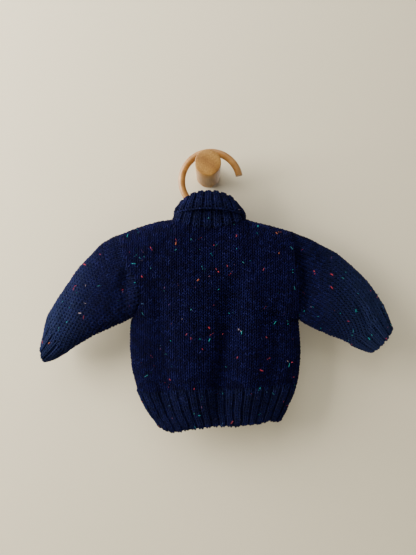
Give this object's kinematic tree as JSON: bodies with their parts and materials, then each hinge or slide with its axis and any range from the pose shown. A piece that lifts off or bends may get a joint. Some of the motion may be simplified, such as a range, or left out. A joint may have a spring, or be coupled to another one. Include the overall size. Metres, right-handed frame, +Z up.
{
  "type": "hand-knit baby cardigan on a cane hanger and wall peg",
  "caption": "Chunky hand-knit baby cardigan with ribbed hem, cuffs, button bands and folded collar, hung from a cane hanger on a round wooden wall peg.",
  "frame": {"origin": "centre of the peg's flat end face on the wall; the wall is the plane y = 0", "axes": "+Z up, +Y into the wall, +X to the right of a viewer who faces the wall and the cardigan's back"},
  "size_m": [0.4546, 0.069, 0.3641],
  "materials": {
    "wool_knit": "matte navy tweed wool with coloured neps, stocking stitch",
    "wool_rib": "matte navy tweed wool with coloured neps, two by two rib",
    "cane": "satin cane",
    "beech": "satin beech",
    "button": "satin dark horn look"
  },
  "bodies": {
    "root": {"back": "wool_knit", "left_front": "wool_knit", "right_front": "wool_knit", "left_sleeve": "wool_knit", "right_sleeve": "wool_knit", "back_welt": "wool_rib", "left_front_welt": "wool_rib", "right_front_welt": "wool_rib", "left_cuff": "wool_rib", "right_cuff": "wool_rib", "collar": "wool_rib", "button_band": "wool_rib", "buttonhole_band": "wool_rib", "hanger_bar": "cane", "hanger_hook": "cane", "wall_peg": "beech", "button_1": "button", "button_2": "button", "button_3": "button", "button_4": "button", "button_5": "button"}
  },
  "joints": []
}
